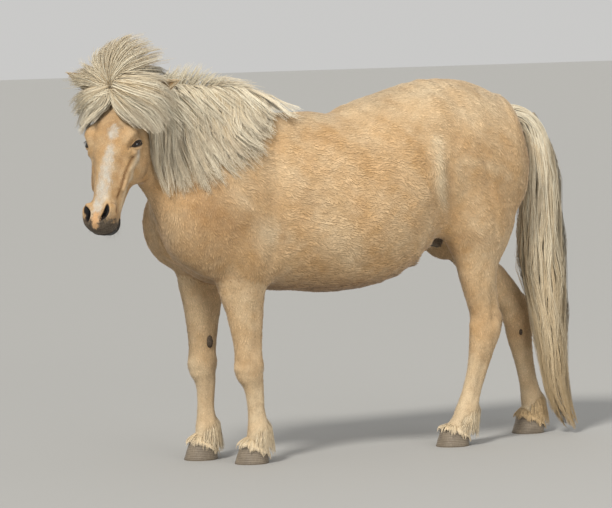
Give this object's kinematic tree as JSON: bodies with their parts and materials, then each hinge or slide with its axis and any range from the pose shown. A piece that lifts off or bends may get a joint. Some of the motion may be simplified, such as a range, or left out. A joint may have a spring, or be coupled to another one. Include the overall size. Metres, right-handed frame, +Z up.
{
  "type": "shetland pony figure",
  "caption": "Life-size standing Shetland pony, gold-tan with a cream mane and tail, its head turned to its left; still, with no moving parts.",
  "frame": {"origin": "on the ground, under the middle of the pony's bounding box", "axes": "+Z up, -Y the way the pony's body faces, +X to the pony's left"},
  "size_m": [0.4782, 1.5584, 1.2187],
  "materials": {
    "coat": "short hair coat, soft sheen",
    "long_hair": "long coarse cream hair",
    "hoof_horn": "dull horn",
    "eye": "wet and glossy"
  },
  "bodies": {
    "root": {"torso": "coat", "neck": "coat", "head": "coat", "ear_left": "coat", "ear_right": "coat", "eye_left": "eye", "eye_right": "eye", "tail": "long_hair", "fore_left_forearm": "coat", "fore_left_shank": "coat", "fore_left_hoof": "hoof_horn", "fore_right_forearm": "coat", "fore_right_shank": "coat", "fore_right_hoof": "hoof_horn", "hind_left_gaskin": "coat", "hind_left_shank": "coat", "hind_left_hoof": "hoof_horn", "hind_right_gaskin": "coat", "hind_right_shank": "coat", "hind_right_hoof": "hoof_horn"}
  },
  "joints": []
}
